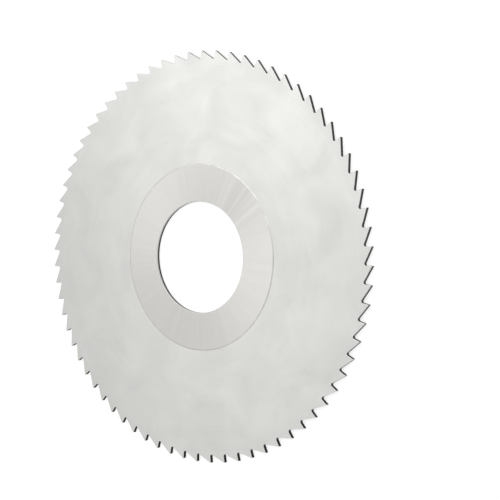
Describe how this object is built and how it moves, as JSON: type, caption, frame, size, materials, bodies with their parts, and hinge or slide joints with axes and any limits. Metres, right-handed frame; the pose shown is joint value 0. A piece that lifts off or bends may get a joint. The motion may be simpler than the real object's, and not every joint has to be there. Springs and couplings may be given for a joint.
{
  "type": "slitting saw",
  "caption": "Thin flat circular metal slitting saw with straight-backed pointed teeth, hollow-ground sides, a flat hub ring and a plain arbor bore.",
  "frame": {"origin": "on the bore axis, in the plane of the lower hub face on which the saw lies", "axes": "+Z along the bore axis, up through the upper hub face; +X through the cutting edge of one tooth; seen from +Z the cutting faces look counter-clockwise"},
  "size_m": [0.1, 0.1, 0.001],
  "materials": {
    "ground_steel": "ground satin high-speed steel, bright sides and darker tooth and bore walls"
  },
  "bodies": {
    "root": {"saw_blade": "ground_steel"}
  },
  "joints": []
}
